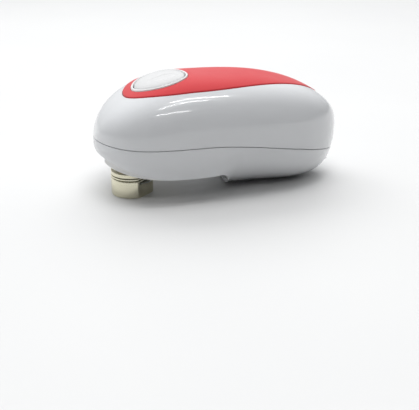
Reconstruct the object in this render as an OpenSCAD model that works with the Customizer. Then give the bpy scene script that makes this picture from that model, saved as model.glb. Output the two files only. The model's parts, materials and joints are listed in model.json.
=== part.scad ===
// Hands-free electric can opener, standing on its base. +X tail, -X head, +Z up, floor at z = 0.

/* [Housing] */
// overall length
body_l = 153; // [138:1:175]
// overall width
body_w = 78; // [74:1:90]
// height of the crown above the floor
body_h = 68.5; // [66:0.5:80]
// height of the widest level
waist_z = 31; // [30:0.5:34]
// wall of the upper shell
top_wall = 2.6; // [2.4:0.1:3]
// wall of the lower shell
low_wall = 2.2; // [2:0.1:2.6]
// underside level of the head
head_z = 16; // [15.8:0.1:17]
// parting line height at the head
split_z = 34.6; // [33.5:0.1:36]

/* [Panel and button] */
// half width of the coloured panel
panel_hw = 27.4; // [22:0.2:29]
// panel tip at the head
panel_x0 = -57.5; // [-60:0.5:-55]
// panel tip at the tail
panel_x1 = 64; // [50:0.5:66]
// button centre
button_x = -36; // [-38:0.5:-35]
// button ring half length
ring_a = 16.8; // [14:0.2:18]
// button ring half width
ring_b = 18; // [15:0.2:19]
// gap round the button cap
cap_gap = 0.6; // [0.4:0.1:0.9]
// button travel
button_travel = 1.5; // [1:0.1:1.8]

/* [Cutting head] */
// cutter drum radius
drum_r = 12.5; // [11:0.25:13]
// plain height of the drum
drum_h = 10.6; // [9.5:0.1:11]
// drum centre at rest
drum_x = -55.4; // [-56.5:0.1:-54.5]
// drum centre at rest, sideways
drum_y = -5.3; // [-6:0.1:-5]
// throw of the drum toward the drive wheel
drum_throw = 4; // [3.6:0.1:4.4]
// swing of the drum
drum_swing = 140; // [130:5:150]
// cutter wheel radius
cutter_r = 6.4; // [5.8:0.1:6.6]
// drive wheel radius
drive_r = 5; // [4.5:0.1:5.4]
// running clearance of shafts, radial
run = 0.05; // [0.03:0.01:0.09]

/* [Power] */
// cell diameter
cell_d = 14.2; // [13.8:0.1:14.5]
// cell length
cell_l = 50.5; // [49:0.5:50.5]
// motor can radius
motor_r = 9.5; // [9:0.25:9.75]

/* [Hidden] */
hl = body_l/2;
hw = body_w/2;
crown_h = body_h - waist_z;
keel_h = waist_z + 0.5;
crown_x = -21.4;
wide_x = -10;
cover_d = 1.6;
step_x = -8;
cover_x = -20;
step_l = 11;
recess_r = 0.93;
cover_r = 0.92;
seam = 0.3;
panel_t = 1.5;
door_x0 = 10;
door_x1 = 63;
door_hw = 15.5;
door_gap = 0.35;
door_t = 2;
off = drum_throw/2;
pivot_x = drum_x - off/tan(drum_swing/2);
pivot_y = drum_y + off;
flat_a = 90 - drum_swing;
flat_d = 0.82*drum_r;
cutter_off = drum_r + 0.5 - cutter_r;
cutter_x = drum_x + cutter_off*cos(flat_a);
cutter_y = drum_y + cutter_off*sin(flat_a);
cutter_z = 8.2;
cutter_t = 1;
ring_z = drum_h + 0.4;
drum_top = drum_h + 4.3;
drum_shaft_r = 4;
shaft_z = cutter_z + cutter_t + 0.8;
drive_x = drum_x;
drive_y = drum_y + drum_throw + drum_r + 0.5 + 0.35 + drive_r;
drive_shaft_r = 3;
bush_r = 6.2;
drive_bush_r = 5;
plate_z = 36;
plate_t = 2;
lay_a = 39.6;
lay_b = 43.2;
lay_c = 46.8;
gear_t = 3.2;
upper_z = 50.6;
upper_t = 1.8;
pin_r = 1.2;
m_1 = 0.5;
m_2 = 0.6;
m_3 = 0.8;
m_4 = 0.9;
t_m = 12;
t_1 = 48;
t_1p = 12;
t_2 = 40;
t_2p = 10;
t_3 = 30;
t_3p = 10;
t_d = 20;
d_w3 = m_4*(t_3p + t_d)/2 + 0.2;
d_32 = m_3*(t_2p + t_3)/2 + 0.15;
d_21 = m_2*(t_1p + t_2)/2 + 0.15;
d_1m = m_1*(t_m + t_1)/2 + 0.15;
a_w3 = -27;
a_32 = -35;
a_21 = -36;
a_1m = 10;
g3 = [drive_x + d_w3*cos(a_w3), drive_y + d_w3*sin(a_w3)];
g2 = [g3.x + d_32*cos(a_32), g3.y + d_32*sin(a_32)];
g1 = [g2.x + d_21*cos(a_21), g2.y + d_21*sin(a_21)];
gm = [g1.x + d_1m*cos(a_1m), g1.y + d_1m*sin(a_1m)];
ph_d = 0;
ph_3 = meshed(ph_d, a_w3, t_d, t_3p);
ph_2 = meshed(ph_3, a_32, t_3, t_2p);
ph_1 = meshed(ph_2, a_21, t_2, t_1p);
ph_g1 = 0;
ph_m = meshed(ph_g1, a_1m, t_1, t_m);
motor_z0 = head_z + low_wall + 2.4;
motor_hole = 6.5;
cell_x = 11.4;
cell_y = cell_d/2 + 0.3;
cell_z = 14.5;
screw_front = [-28, 28];
screw_rear = [66, 9];
post_p = [[-45, -21], [-31, 21.4], [8, -21], [8, 21]];
switch_z = upper_z + upper_t;
switch_h = 5.2;
magnet_p = [-46, 25];
limit_x = -31;
limit_y = -18.5;
red_route = [[cell_x - 1.7, -cell_y, 26], [13, -9.5, 27.5], [15, -20, 33], [13, -27, 40], [2, -27.5, 47],
    [-8, -26.5, 54], [-16, -20, 56.5], [-25, -10, 57], [-29, -3, 55.5], [button_x + 4.7, -2, switch_z + 1.5]];
black_route = [[cell_x - 3.2, cell_y, 26], [6.5, 11, 25.5], [4, 14, 22.5], [1, 14, 20],
    [gm.x, gm.y + 13, motor_z0 - 1.2], [gm.x, gm.y + 6.7, motor_z0 - 1.2]];
white_route = [[button_x - 4.7, -2, switch_z + 1.5], [-42, -5, 56.2], [-41, -14, 56.5], [-39, -26, 54.5],
    [-37, -28.5, 48], [-36, -29.5, 38], [-36.5, -28, 30], [limit_x, limit_y - 4.6, 27.6]];
blue_route = [[limit_x + 6.7, limit_y, 27.6], [-20, -19.5, 26], [-16, -20, 23], [-10, -20.5, 20.4],
    [-4, -19.5, motor_z0 - 1.2], [gm.x, gm.y - 10, motor_z0 - 1.2], [gm.x, gm.y - 6.7, motor_z0 - 1.2]];

function smooth(t) = t <= 0 ? 0 : t >= 1 ? 1 : t*t*(3 - 2*t);
function sgn(v) = v < 0 ? -1 : 1;
function prof(x, xm, h, pf, pr, q) =
    let(t = x < xm ? (xm - x)/(xm + h) : (x - xm)/(h - xm))
    t >= 1 ? 0 : pow(1 - pow(max(t, 0), x < xm ? pf : pr), 1/q);
function plan_w(x, o) = (hw - o)*prof(x, wide_x, hl - o, 4.5, 3.4, 1.6);
function part_u(x, y, o) = let(w = plan_w(x, o)) w < 0.001 ? 1 : min(1, abs(y)/w);
function crown(x, y, o) =
    waist_z + (crown_h - o)*prof(x, crown_x, hl - o, 1.8, 2.8, 2)*pow(1 - pow(part_u(x, y, o), 3.2), 1/3.2);
function keel_n(x) = 3 - 1.4*smooth((x + 25)/30) + 0.4*smooth((x - 15)/40);
function keel(x, y, o) =
    waist_z - (keel_h - o)*prof(x, 0, hl - o, 1.6, 8.8, 2)*pow(1 - pow(part_u(x, y, o), keel_n(x)), 1/keel_n(x));
function lip(x) = head_z + 11.5*pow(max(0, -38 - x)/39, 1.5);
function cover_low(x) = head_z - 0.4 + 3.5*pow(max(0, -38 - x)/39, 1.5);
function seam_z(x) = split_z - 16*pow(max(0, x + 20)/93, 1.75);
function rim(a, o) = let(x = (hl - o)*cos(a)) [x, sgn(sin(a))*plan_w(x, o)];
// point of the skin: a round the plan, s from -1 keel to +1 crown, o inward offset
function skin(a, s, o) =
    let(p = rim(a, o), r = cos(90*s), c = s < 0 ? 0 : crown_x, x = c + r*(p.x - c), y = r*p.y)
    s >= 0 ? [x, y, crown(x, y, o)] : [x, y, o > 0 ? max(o, keel(x, y, o)) : keel(x, y, o)];
function split_s(a, o, dz, lo, hi, n) =
    let(m = (lo + hi)/2, p = skin(a, m, o))
    n == 0 ? m : p.z < seam_z(p.x) - dz ? split_s(a, o, dz, m, hi, n - 1) : split_s(a, o, dz, lo, m, n - 1);

// closed solid from rings of equal length: outer rings, then inner rings back, poles at both ends
module ring_solid(rings, pole_a, pole_b) {
    n = len(rings[0]);
    m = len(rings);
    pts = concat([for (r = rings) for (p = r) p], [pole_a, pole_b]);
    faces = concat(
        [for (i = [0:n - 1]) [m*n, (i + 1)%n, i]],
        [for (k = [0:m - 2]) for (i = [0:n - 1]) [k*n + i, k*n + (i + 1)%n, (k + 1)*n + (i + 1)%n]],
        [for (k = [0:m - 2]) for (i = [0:n - 1]) [k*n + i, (k + 1)*n + (i + 1)%n, (k + 1)*n + i]],
        [for (i = [0:n - 1]) [m*n + 1, (m - 1)*n + i, (m - 1)*n + (i + 1)%n]]);
    polyhedron(points = pts, faces = faces, convexity = 8);
}

na = 56;
function turn(k) = 360*(k + 0.5)/na;
function up_ring(o, t) = [for (k = [0:na - 1])
    let(a = turn(k), s0 = split_s(a, o, 0, -0.9, 0.9, 16), s1 = 0.955) skin(a, s0 + (s1 - s0)*t, o)];
function low_ring(o, dz, j) = [for (k = [0:na - 1])
    let(a = turn(k), s0 = split_s(a, o, dz, -0.9, 0.9, 16)) skin(a, s0 + (-0.96 - s0)*j/10, o)];

module skin_top() {
    ring_solid(concat([for (j = [9:-1:0]) up_ring(0, j/9)], [for (j = [0:9]) up_ring(top_wall, j/9)]),
        [crown_x, 0, body_h], [crown_x, 0, body_h - top_wall]);
}
module bowl_out() {
    ring_solid(concat([low_ring(low_wall + 0.6, seam, 0)], [for (j = [0:10]) low_ring(0, seam, j)]),
        [0, 0, seam_z(0) - seam], [0, 0, waist_z - keel_h]);
}
module bowl_in() {
    ring_solid([for (j = [0:10]) low_ring(low_wall, -6, j)], [0, 0, seam_z(0) + 6], [0, 0, low_wall]);
}
// space under the head, as a profile along the body raised by d
module under_head(d) {
    xs = [for (i = [0:7]) -38 - (hl + 3 - 38)*i/7];
    ss = [for (i = [0:8]) i/8];
    translate([0, hw + 5, 0]) rotate([90, 0, 0]) linear_extrude(height = body_w + 10)
        polygon(concat([[-hl - 14, -5], [step_x + step_l + d, -5]],
            [for (t = ss) [step_x + d + step_l*(1 - t), d + head_z*sin(90*t)]],
            [for (x = xs) [x, lip(x) + d]], [[-hl - 14, lip(-hl - 3) + d + 8]]));
}
module cover_bed(d, k) {
    intersection() {
        linear_extrude(height = 60) polygon([for (i = [0:47]) let(p = rim(7.5*(i + 0.5), 0))
            [k*p.x, k*p.y]]);
        under_head(d);
        block(-hl - 14, cover_x - 0.3, -hw - 21, hw + 21, -5, 60);
    }
}
// sheet over a region: stations of x, half width per station, top and bottom heights
function grid(xs, ws, ny) = [for (i = [0:len(xs) - 1]) [for (j = [0:ny]) [xs[i], ws[i]*cos(180*(1 - j/ny))]]];
module sheet_solid(g, top, low) {
    n = len(g[0]);
    m = len(g);
    pts = concat([for (i = [0:m - 1]) for (j = [0:n - 1]) [g[i][j].x, g[i][j].y, top[i][j]]],
        [for (i = [0:m - 1]) for (j = [0:n - 1]) [g[i][j].x, g[i][j].y, low[i][j]]]);
    b = m*n;
    faces = concat(
        [for (i = [0:m - 2]) for (j = [0:n - 2]) [i*n + j, i*n + j + 1, (i + 1)*n + j + 1]],
        [for (i = [0:m - 2]) for (j = [0:n - 2]) [i*n + j, (i + 1)*n + j + 1, (i + 1)*n + j]],
        [for (i = [0:m - 2]) for (j = [0:n - 2]) [b + i*n + j, b + (i + 1)*n + j + 1, b + i*n + j + 1]],
        [for (i = [0:m - 2]) for (j = [0:n - 2]) [b + i*n + j, b + (i + 1)*n + j, b + (i + 1)*n + j + 1]],
        [for (j = [0:n - 2]) [j, b + j, b + j + 1, j + 1]],
        [for (j = [0:n - 2]) [(m - 1)*n + j, (m - 1)*n + j + 1, b + (m - 1)*n + j + 1, b + (m - 1)*n + j]],
        [for (i = [0:m - 2]) [i*n, (i + 1)*n, b + (i + 1)*n, b + i*n]],
        [for (i = [0:m - 2]) [i*n + n - 1, b + i*n + n - 1, b + (i + 1)*n + n - 1, (i + 1)*n + n - 1]]);
    polyhedron(points = pts, faces = faces, convexity = 6);
}

function panel_w(x) =
    let(f = (-24 - x)/(-24 - panel_x0), r = (x + 24)/(panel_x1 + 24))
    x < -24 ? panel_hw*pow(max(0, 1 - pow(f, 2.2)), 1/2.2) : panel_hw*pow(max(0, 1 - pow(r, 2.15)), 1/1.35);
module panel_sheet(grow, up, down) {
    x0 = panel_x0 - grow;
    x1 = panel_x1 + grow;
    n = 24;
    xs = [for (i = [0:n]) x0 + (x1 - x0)*(1 - cos(180*(0.02 + 0.96*i/n)))/2];
    ws = [for (x = xs) panel_w(max(panel_x0 + 0.15, min(panel_x1 - 0.3, x))) + grow + 0.2];
    g = grid(xs, ws, 10);
    sheet_solid(g, [for (r = g) [for (p = r) crown(p.x, p.y, 0) + up]],
        [for (r = g) [for (p = r) crown(p.x, p.y, 0) - down]]);
}
function oval(a, b, n) = [for (k = [0:n - 1]) [button_x + a*cos(360*k/n), b*sin(360*k/n)]];
module oval_hole(a, b) {
    translate([0, 0, 45]) linear_extrude(height = 40) polygon(oval(a, b, 44));
}
// solid on an oval plan following the crown: half sizes, then heights above and below the crown
module oval_cap(a, b, rise, edge, down) {
    n = 40;
    k = [1, 0.94, 0.75, 0.5, 0.25];
    ring_solid(concat([for (j = [4:-1:0]) [for (p = oval(a*k[j], b*k[j], n))
            [p.x, p.y, crown(p.x, p.y, 0) + edge + rise*(1 - k[j]*k[j])]]],
        [for (j = [0:4]) [for (p = oval(a*k[j], b*k[j], n)) [p.x, p.y, crown(p.x, p.y, 0) - down]]]),
        [button_x, 0, crown(button_x, 0, 0) + edge + rise], [button_x, 0, crown(button_x, 0, 0) - down]);
}
function door_w(x) = door_hw - 2.5*pow(max(0, (x - door_x0)/(door_x1 - door_x0)), 3);
module door_outline(g) {
    n = 10;
    xs = [for (i = [0:n]) door_x0 - g + (door_x1 - door_x0 + 2*g)*i/n];
    polygon(concat([for (x = xs) [x, door_w(x) + g]], [for (i = [n:-1:0]) [xs[i], -door_w(xs[i]) - g]]));
}

// tube along a route
function unit(v) = v/norm(v);
function along(p, i) = unit(p[min(i + 1, len(p) - 1)] - p[max(i - 1, 0)]);
module tube(p, r, n, ref) {
    m = len(p);
    rings = [for (i = [0:m - 1]) let(t = along(p, i), u = unit(cross(t, ref)), v = cross(t, u))
        [for (k = [0:n - 1]) p[i] + r*(u*cos(360*k/n) + v*sin(360*k/n))]];
    ring_solid(rings, p[0], p[m - 1]);
}
function bend(p, t) =
    let(m = len(p) - 1, i = min(m - 1, floor(t*m)), f = t*m - i, a = p[max(0, i - 1)], b = p[i], c = p[i + 1],
        d = p[min(m, i + 2)])
    0.5*(2*b + (c - a)*f + (2*a - 5*b + 4*c - d)*f*f + (3*b - 3*c + d - a)*f*f*f);
module wire(p) {
    n = 5*(len(p) - 1);
    tube([for (i = [0:n]) bend(p, i/n)], 0.8, 8, [0.31, 0.17, 0.93]);
}
module coil(x, y, z0, z1, r, w, turns) {
    n = 14*turns;
    tube([for (i = [0:n]) [x + r*cos(360*i/14), y + r*sin(360*i/14), z0 + w + (z1 - z0 - 2*w)*i/n]], w, 8, [0, 0, 1]);
}

// gears: a tooth of each points along its phase
function meshed(pa, dir, za, zb) = dir + 180 + 180/zb - (pa - dir)*za/zb;
module gear(m, z, ph, t, hole) {
    pr = m*z/2;
    s = 360/z;
    rotate([0, 0, ph]) difference() {
        linear_extrude(height = t) polygon([for (k = [0:z - 1]) for (q = [
            [pr - 1.1*m, -0.31], [pr - 0.2*m, -0.235], [pr + 0.75*m, -0.1],
            [pr + 0.75*m, 0.1], [pr - 0.2*m, 0.235], [pr - 1.1*m, 0.31]])
            [q[0]*cos(s*(k + q[1])), q[0]*sin(s*(k + q[1]))]]);
        translate([0, 0, -1]) cylinder(r = hole, h = t + 2, $fn = 40);
    }
}
module rod(x, y, z0, z1, r) {
    translate([x, y, z0]) cylinder(r = r, h = z1 - z0, $fn = 48);
}
module pipe(x, y, z0, z1, r, b) {
    difference() {
        rod(x, y, z0, z1, r);
        rod(x, y, z0 - 1, z1 + 1, b);
    }
}
module block(x0, x1, y0, y1, z0, z1) {
    translate([x0, y0, z0]) cube([x1 - x0, y1 - y0, z1 - z0]);
}
module pair(p) {
    for (s = [-1, 1]) translate([p[0], s*p[1], 0]) children();
}

module upper_shell() {
    color([0.93, 0.93, 0.92]) difference() {
        union() {
            skin_top();
            pair(screw_front) rod(0, 0, seam_z(screw_front[0]) + 0.6, crown(screw_front[0] - 3.6, screw_front[1] + 3.6, 0) - 0.8, 3.4);
            pair(screw_rear) rod(0, 0, seam_z(screw_rear[0]) + 0.6, crown(screw_rear[0] + 3.6, screw_rear[1] + 3.6, 0) - 0.8, 3.4);
        }
        panel_sheet(0.25, 9, panel_t + 0.1);
        oval_hole(ring_a - 1.4, ring_b - 1.4);
        pair(screw_front) rod(0, 0, 20, seam_z(screw_front[0]) + 12, 1.2);
        pair(screw_rear) rod(0, 0, 10, seam_z(screw_rear[0]) + 12, 1.2);
    }
}
module rear_boss() {
    pair(screw_rear) rod(0, 0, keel(screw_rear[0] + 3.6, screw_rear[1] + 3.6, 0) + 0.6, seam_z(screw_rear[0]) - 0.6, 3.4);
}
module front_boss() {
    pair(screw_front) rod(0, 0, head_z + cover_d + 1, seam_z(screw_front[0]) - 0.6, 3.4);
}
module lower_shell() {
    color([0.92, 0.92, 0.91]) difference() {
        bowl_out();
        difference() {
            bowl_in();
            under_head(low_wall);
            cover_bed(cover_d + low_wall, recess_r + 0.05);
            rear_boss();
            front_boss();
        }
        under_head(0);
        block(-hl - 5, hl + 5, -hw - 5, hw + 5, -5, 0);
        cover_bed(cover_d, recess_r);
        translate([0, 0, -2]) linear_extrude(height = 20) door_outline(door_gap);
        pair(screw_front) rod(0, 0, 0, 60, 1.6);
        pair(screw_rear) rod(0, 0, 0, 60, 1.6);
        pair(screw_rear) rod(0, 0, 0, 12.5, 2.9);
        rod(pivot_x, pivot_y, 0, 30, bush_r + run);
        rod(drive_x, drive_y, 0, 30, drive_bush_r + run);
    }
}
module top_panel() {
    color([0.86, 0.34, 0.36]) difference() {
        panel_sheet(0, 0.4, panel_t);
        oval_hole(ring_a + 0.15, ring_b + 0.15);
    }
}
module button_bezel() {
    color([0.95, 0.95, 0.94]) difference() {
        oval_cap(ring_a, ring_b, 0.4, 0.9, panel_t);
        oval_hole(ring_a - 1.4, ring_b - 1.4);
    }
}
module head_cover() {
    n = 22;
    x0 = -hl*cover_r + 0.15;
    xs = [for (i = [0:n]) x0 + (-20.5 - x0)*(1 - cos(90*(0.02 + 0.98*i/n)))];
    g = grid(xs, [for (x = xs) cover_r*plan_w(x/cover_r, 0)], 12);
    color([0.88, 0.88, 0.87]) difference() {
        sheet_solid(g, [for (r = g) [for (p = r) lip(p.x) + cover_d - 0.1]],
            [for (r = g) [for (p = r) cover_low(p.x)]]);
        pair(screw_front) rod(0, 0, 0, 60, 1.6);
        rod(pivot_x, pivot_y, 0, 30, bush_r + run);
        rod(drive_x, drive_y, 0, 30, drive_bush_r + run);
    }
}
module screw(z0, l) {
    rod(0, 0, z0, z0 + l, 1.15);
    difference() {
        rod(0, 0, z0 - 1.8, z0, 2.5);
        block(-1.6, 1.6, -0.35, 0.35, z0 - 2, z0 - 0.9);
        block(-0.35, 0.35, -1.6, 1.6, z0 - 2, z0 - 0.9);
    }
}
module shell_screws() {
    color([0.6, 0.6, 0.62]) {
        pair(screw_front) screw(head_z - 0.4, 28);
        pair(screw_rear) screw(12.5, 17);
    }
}
module button_cap() {
    color([0.96, 0.96, 0.95]) {
        oval_cap(ring_a - 1.4 - cap_gap, ring_b - 1.4 - cap_gap, 1.1, 0.7, 2.2);
        rod(button_x, 0, crown(button_x, 0, 0) - 4.6, crown(button_x, 0, 0) - 1.2, 7.2);
        rod(button_x, 0, switch_z + switch_h + 1.65, crown(button_x, 0, 0) - 4.6, 2);
    }
}
module button_spring() {
    color([0.7, 0.7, 0.72]) coil(button_x, 0, switch_z + switch_h, crown(button_x, 0, 0) - 4.6, 2.75, 0.3, 3);
}
module start_switch() {
    color([0.15, 0.15, 0.16]) difference() {
        union() {
            block(button_x - 3.2, button_x + 3.2, -3.2, 3.2, switch_z, switch_z + switch_h);
            block(button_x + 3.2, button_x + 4.2, -2.4, -1.6, switch_z + 1, switch_z + 2);
            block(button_x - 4.2, button_x - 3.2, -2.4, -1.6, switch_z + 1, switch_z + 2);
        }
        rod(button_x, 0, switch_z + 1.5, switch_z + 9, 1.5 + run);
    }
}
module switch_plunger() {
    color([0.75, 0.2, 0.18]) rod(button_x, 0, switch_z + 3.2, switch_z + switch_h + 1.6, 1.5);
}
module plate_holes(z) {
    for (g = [g1, g2, g3]) rod(g.x, g.y, z - 5, z + 9, pin_r);
    for (p = post_p) rod(p.x, p.y, z - 5, z + 9, 1.3);
}
module lower_plate() {
    color([0.55, 0.56, 0.58]) difference() {
        union() {
            block(-58, 12, -24, 24, plate_z, plate_z + plate_t);
            rod(drive_x, drive_y - 1, plate_z, plate_z + plate_t, 8);
            rod(pivot_x, pivot_y, plate_z, plate_z + plate_t, 9);
        }
        plate_holes(plate_z);
        rod(pivot_x, pivot_y, 30, 42, drum_shaft_r + run);
        rod(drive_x, drive_y, 30, 42, drive_shaft_r + run);
        rod(gm.x, gm.y, 30, 42, 3);
        for (s = [-1, 1]) rod(gm.x, gm.y + s*motor_hole, 30, 42, 1.1);
    }
}
module upper_plate() {
    color([0.55, 0.56, 0.58]) difference() {
        block(-48, 11, -23.6, 23.6, upper_z, upper_z + upper_t);
        plate_holes(upper_z);
    }
}
module plate_posts() {
    color([0.72, 0.6, 0.35]) for (p = post_p) pipe(p.x, p.y, plate_z + plate_t, upper_z, 2.4, 1.1);
}
module plate_screws() {
    color([0.62, 0.62, 0.64]) for (p = post_p) translate([p.x, p.y, 0]) {
        rod(0, 0, upper_z - 8, upper_z + upper_t, 1.05);
        rod(0, 0, upper_z + upper_t, upper_z + upper_t + 1.5, 2.2);
        rod(0, 0, plate_z, plate_z + plate_t + 5, 1.05);
        rod(0, 0, plate_z - 1.5, plate_z, 2.2);
    }
}
module gear_pins() {
    color([0.7, 0.71, 0.73]) for (g = [g1, g2, g3]) rod(g.x, g.y, plate_z, upper_z + upper_t, pin_r);
}
module motor_can() {
    color([0.66, 0.67, 0.69]) difference() {
        union() {
            rod(gm.x, gm.y, motor_z0 + 2, plate_z, motor_r);
            rod(gm.x, gm.y, plate_z, plate_z + 1.4, 2.9);
        }
        rod(gm.x, gm.y, motor_z0, plate_z - 1.2, motor_r - 0.8);
        rod(gm.x, gm.y, plate_z - 4, plate_z + 4, 1 + run);
        for (s = [-1, 1]) rod(gm.x, gm.y + s*motor_hole, plate_z - 4, plate_z + 4, 0.95);
    }
}
module motor_end() {
    color([0.2, 0.2, 0.21]) difference() {
        union() {
            rod(gm.x, gm.y, motor_z0, motor_z0 + 2, motor_r);
            rod(gm.x, gm.y, motor_z0 + 2, motor_z0 + 4, motor_r - 0.8);
            for (s = [-1, 1]) block(gm.x - 1, gm.x + 1, gm.y + s*6 - 0.3, gm.y + s*6 + 0.3, motor_z0 - 1.6, motor_z0);
        }
        rod(gm.x, gm.y, motor_z0 + 0.8, motor_z0 + 9, 1 + run);
    }
}
module motor_screws() {
    color([0.6, 0.6, 0.62]) for (s = [-1, 1]) {
        rod(gm.x, gm.y + s*motor_hole, plate_z - 1.2, plate_z + plate_t, 0.95);
        rod(gm.x, gm.y + s*motor_hole, plate_z + plate_t, plate_z + plate_t + 1.1, 1.8);
    }
}
module motor_rotor() {
    color([0.7, 0.55, 0.3]) {
        rod(gm.x, gm.y, motor_z0 + 1, lay_a, 1);
        rod(gm.x, gm.y, motor_z0 + 6, plate_z - 4, motor_r - 1.2);
        translate([gm.x, gm.y, lay_a]) gear(m_1, t_m, ph_m, gear_t + 0.2, 0.3);
    }
}
module gear_1() {
    color([0.93, 0.91, 0.84]) translate([g1.x, g1.y, 0]) {
        translate([0, 0, lay_a]) gear(m_1, t_1, ph_g1, gear_t, pin_r + run);
        pipe(0, 0, lay_a + gear_t, lay_b, 2.6, pin_r + run);
        translate([0, 0, lay_b]) gear(m_2, t_1p, ph_1, gear_t + 0.1, pin_r + run);
        pipe(0, 0, plate_z + plate_t + 0.3, lay_a, 2.6, pin_r + run);
    }
}
module gear_2() {
    color([0.9, 0.88, 0.8]) translate([g2.x, g2.y, 0]) {
        translate([0, 0, lay_b]) gear(m_2, t_2, ph_2, gear_t, pin_r + run);
        pipe(0, 0, lay_b + gear_t, lay_c, 2.6, pin_r + run);
        translate([0, 0, lay_c]) gear(m_3, t_2p, ph_2, gear_t + 0.1, pin_r + run);
        pipe(0, 0, plate_z + plate_t + 0.3, lay_b, 2.4, pin_r + run);
    }
}
module gear_3() {
    color([0.93, 0.91, 0.84]) translate([g3.x, g3.y, 0]) {
        translate([0, 0, lay_c]) gear(m_3, t_3, ph_3, gear_t, pin_r + run);
        pipe(0, 0, lay_a + gear_t, lay_c, 2.8, pin_r + run);
        translate([0, 0, lay_a]) gear(m_4, t_3p, ph_3, gear_t + 0.1, pin_r + run);
        pipe(0, 0, plate_z + plate_t + 0.3, lay_a, 2.6, pin_r + run);
    }
}
module drive_gear() {
    color([0.62, 0.63, 0.65]) translate([drive_x, drive_y, lay_a]) gear(m_4, t_d, ph_d, gear_t, drive_shaft_r);
}
module drive_shaft() {
    color([0.7, 0.71, 0.73]) rod(drive_x, drive_y, 7, lay_a + gear_t + 0.4, drive_shaft_r);
}
module drive_wheel() {
    color([0.66, 0.67, 0.69]) {
        translate([drive_x, drive_y, 7.4]) difference() {
            linear_extrude(height = 4.6) polygon([for (k = [0:23]) for (q = [[0.9, -0.25], [1, 0], [0.9, 0.25]])
                [drive_r*q[0]*cos(15*(k + q[1])), drive_r*q[0]*sin(15*(k + q[1]))]]);
            rod(0, 0, -1, 9, drive_shaft_r);
        }
        pipe(drive_x, drive_y, 12, 13.6, drive_r - 0.9, drive_shaft_r);
    }
}
module drive_bush() {
    color([0.78, 0.62, 0.32]) {
        pipe(drive_x, drive_y, head_z - 1.2, 25, drive_bush_r, drive_shaft_r + run);
    }
}
module drum_bush() {
    color([0.78, 0.62, 0.32]) pipe(pivot_x, pivot_y, drum_top + 0.9, 25, bush_r, drum_shaft_r + run);
}
module drum_cut() {
    translate([drum_x, drum_y, 0]) rotate([0, 0, flat_a]) block(flat_d, 40, -40, 40, -1, 40);
}
module cutter_drum() {
    color([0.8, 0.79, 0.75]) difference() {
        union() {
            rod(drum_x, drum_y, 0.6, drum_h, drum_r);
            rod(drum_x, drum_y, 0, 0.6, drum_r - 0.6);
            rod(drum_x, drum_y, drum_h, drum_top, 8.5);
        }
        drum_cut();
        rod(cutter_x, cutter_y, cutter_z - 0.3, cutter_z + cutter_t + 0.3, cutter_r + 0.35);
        rod(cutter_x, cutter_y, cutter_z - 5, cutter_z + 5, 1.5);
        rod(pivot_x, pivot_y, shaft_z, 20, drum_shaft_r);
        rod(drum_x, drum_y, -1, 0.5, drum_r - 3);
    }
}
module drum_ring_low() {
    color([0.78, 0.77, 0.73]) difference() {
        pipe(drum_x, drum_y, ring_z, ring_z + 1.1, drum_r, 8.5);
        drum_cut();
    }
}
module drum_ring_top() {
    color([0.78, 0.77, 0.73]) difference() {
        pipe(drum_x, drum_y, ring_z + 1.5, drum_top, drum_r - 0.1, 8.5);
        drum_cut();
    }
}
module drum_shaft() {
    color([0.7, 0.71, 0.73]) rod(pivot_x, pivot_y, shaft_z, plate_z + plate_t, drum_shaft_r);
}
module drum_washer() {
    color([0.9, 0.9, 0.88]) pipe(pivot_x, pivot_y, drum_top, drum_top + 0.5, bush_r, drum_shaft_r);
}
module drum_cam() {
    color([0.85, 0.84, 0.8]) difference() {
        union() {
            rod(pivot_x, pivot_y, 26.2, 30, 8);
            translate([pivot_x, pivot_y, 0]) rotate([0, 0, -105]) block(6, 12.5, -2.5, 2.5, 26.2, 30);
        }
        rod(pivot_x, pivot_y, 20, 40, drum_shaft_r);
    }
}
module cutter_axle() {
    color([0.72, 0.73, 0.75]) rod(cutter_x, cutter_y, cutter_z - 5, drum_h, 1.5);
}
module cutter_wheel() {
    color([0.78, 0.79, 0.81]) translate([cutter_x, cutter_y, cutter_z]) difference() {
        rotate_extrude($fn = 64) polygon([[0, 0], [cutter_r - 1.2, 0], [cutter_r, cutter_t/2],
            [cutter_r - 1.2, cutter_t], [0, cutter_t]]);
        rod(0, 0, -1, 3, 1.5 + run);
    }
}
module limit_switch() {
    color([0.15, 0.15, 0.16]) {
        block(limit_x - 6, limit_x + 5.4, limit_y - 3.2, limit_y + 3.2, head_z + cover_d + low_wall, 29.6);
        block(limit_x + 5.4, limit_x + 6.2, limit_y - 0.8, limit_y + 0.8, 27, 28.2);
        block(limit_x - 0.8, limit_x + 0.8, limit_y - 4, limit_y - 3.2, 27, 28.2);
    }
}
module magnet_cup() {
    color([0.25, 0.25, 0.27]) difference() {
        rod(magnet_p.x, magnet_p.y, 10.4, head_z - 0.42, 5.8);
        rod(magnet_p.x, magnet_p.y, 9, 14, 4.5);
    }
}
module lid_magnet() {
    color([0.75, 0.76, 0.78]) rod(magnet_p.x, magnet_p.y, 10, 14, 4.5);
}
module cell(y) {
    translate([cell_x, y, cell_z]) rotate([0, 90, 0]) {
        rod(0, 0, 0, cell_l - 1, cell_d/2);
        rod(0, 0, cell_l - 1, cell_l, 2.75);
    }
}
module cell_a() {
    color([0.18, 0.2, 0.24]) cell(-cell_y);
}
module cell_b() {
    color([0.75, 0.5, 0.2]) cell(cell_y);
}
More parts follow.
